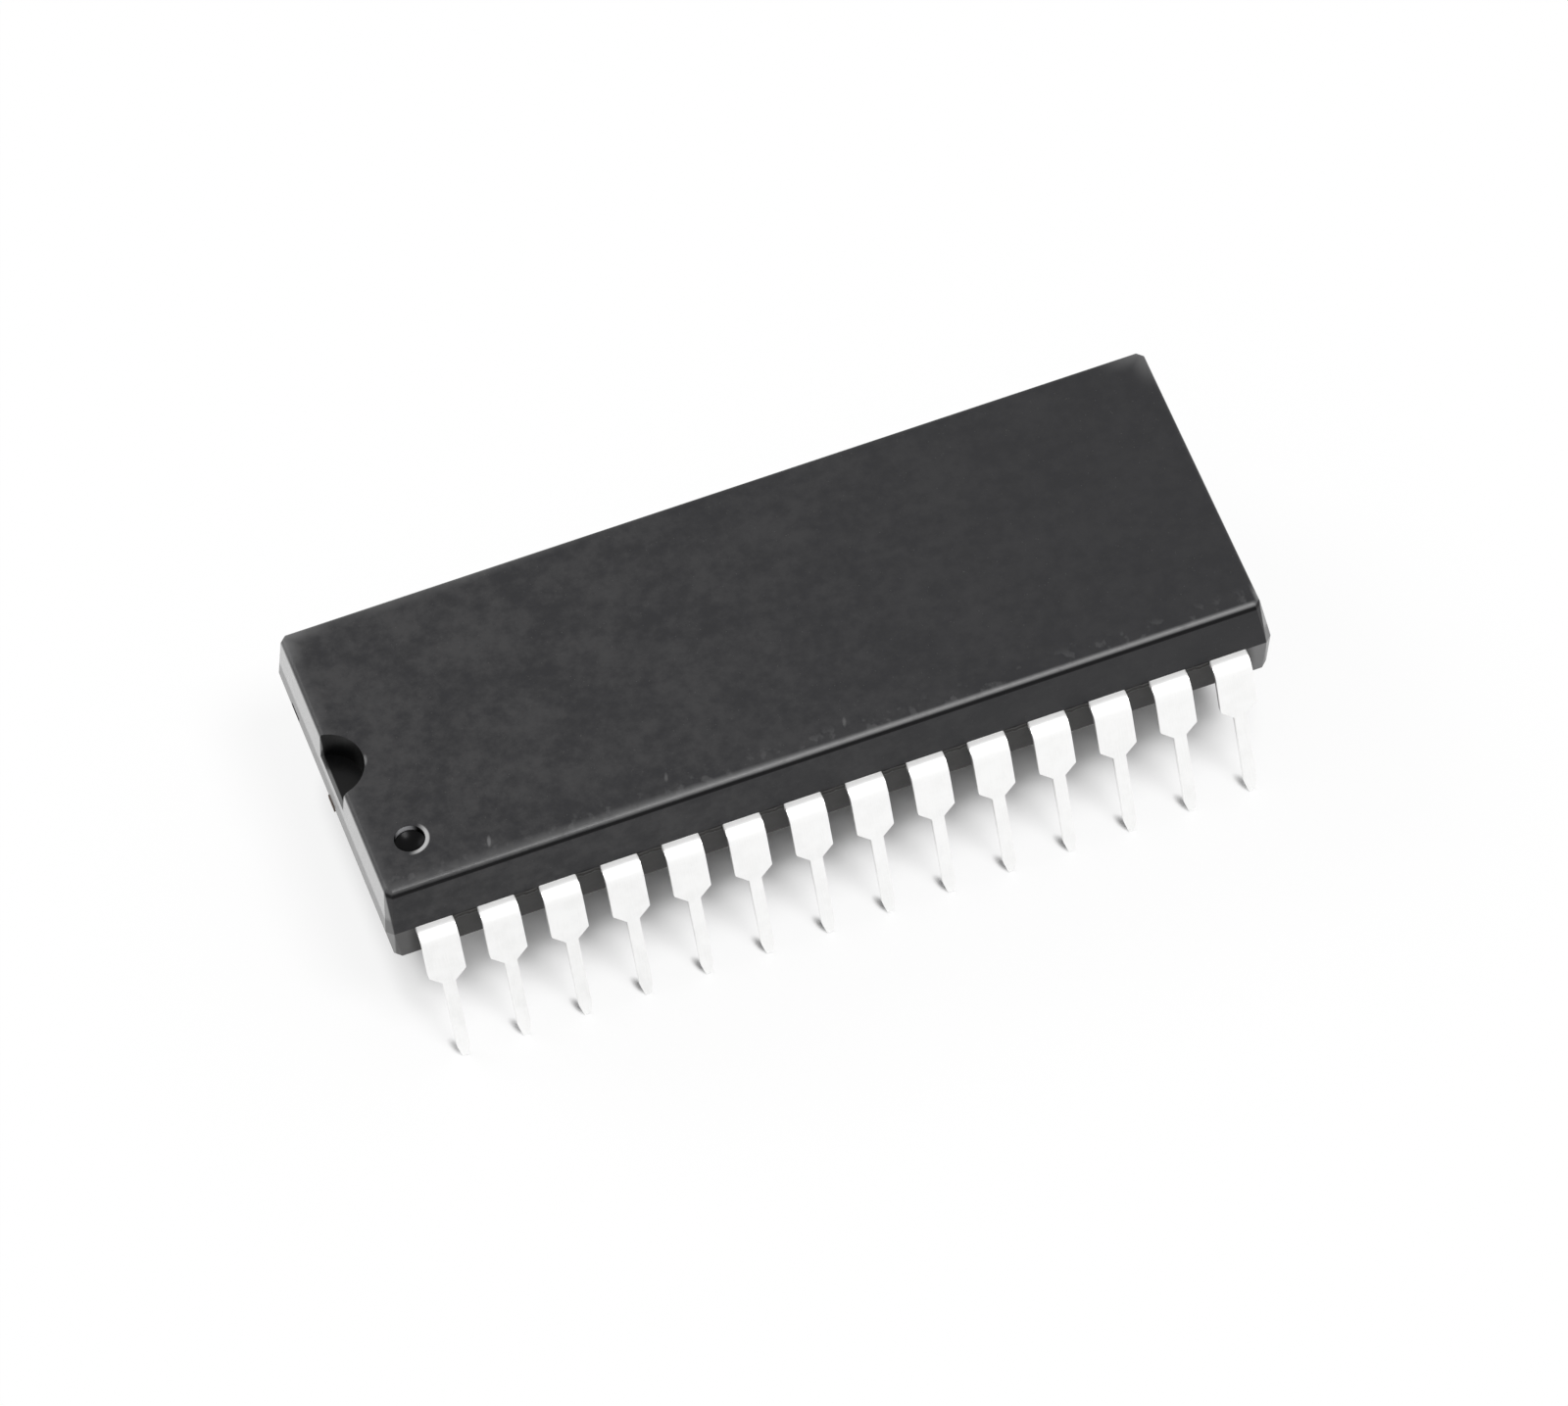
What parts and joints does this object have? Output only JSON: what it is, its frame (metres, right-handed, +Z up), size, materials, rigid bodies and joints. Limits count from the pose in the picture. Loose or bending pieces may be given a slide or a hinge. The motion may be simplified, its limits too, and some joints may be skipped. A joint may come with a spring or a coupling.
{
  "type": "dual in-line integrated circuit chip",
  "caption": "Moulded plastic dual in-line chip package with two rows of splayed tinned leads, an end notch and a pin 1 dimple, its lead frame, die and bond wires inside.",
  "frame": {"origin": "under the middle of the body, on the plane that the pin tips stand on", "axes": "+X along the body, away from the notched end; +Y across the body, from the row that starts at pin 1 to the other row; +Z up, out of the top face"},
  "size_m": [0.037, 0.0174, 0.0093],
  "materials": {
    "moulding_compound": "fine matte spark-eroded texture, slightly glossy on the edges",
    "tinned_lead_frame": "satin tin plating",
    "paddle_copper": "rolled copper alloy",
    "attach_epoxy": "silver-filled adhesive",
    "silicon": "polished",
    "bond_gold": "drawn gold wire"
  },
  "bodies": {
    "root": {"moulded_body": "moulding_compound", "lead_01": "tinned_lead_frame", "lead_02": "tinned_lead_frame", "lead_03": "tinned_lead_frame", "lead_04": "tinned_lead_frame", "lead_05": "tinned_lead_frame", "lead_06": "tinned_lead_frame", "lead_07": "tinned_lead_frame", "lead_08": "tinned_lead_frame", "lead_09": "tinned_lead_frame", "lead_10": "tinned_lead_frame", "lead_11": "tinned_lead_frame", "lead_12": "tinned_lead_frame", "lead_13": "tinned_lead_frame", "lead_14": "tinned_lead_frame", "lead_15": "tinned_lead_frame", "lead_16": "tinned_lead_frame", "lead_17": "tinned_lead_frame", "lead_18": "tinned_lead_frame", "lead_19": "tinned_lead_frame", "lead_20": "tinned_lead_frame", "lead_21": "tinned_lead_frame", "lead_22": "tinned_lead_frame", "lead_23": "tinned_lead_frame", "lead_24": "tinned_lead_frame", "lead_25": "tinned_lead_frame", "lead_26": "tinned_lead_frame", "lead_27": "tinned_lead_frame", "lead_28": "tinned_lead_frame", "die_paddle": "paddle_copper", "die_attach": "attach_epoxy", "silicon_die": "silicon", "bond_wires": "bond_gold"}
  },
  "joints": []
}
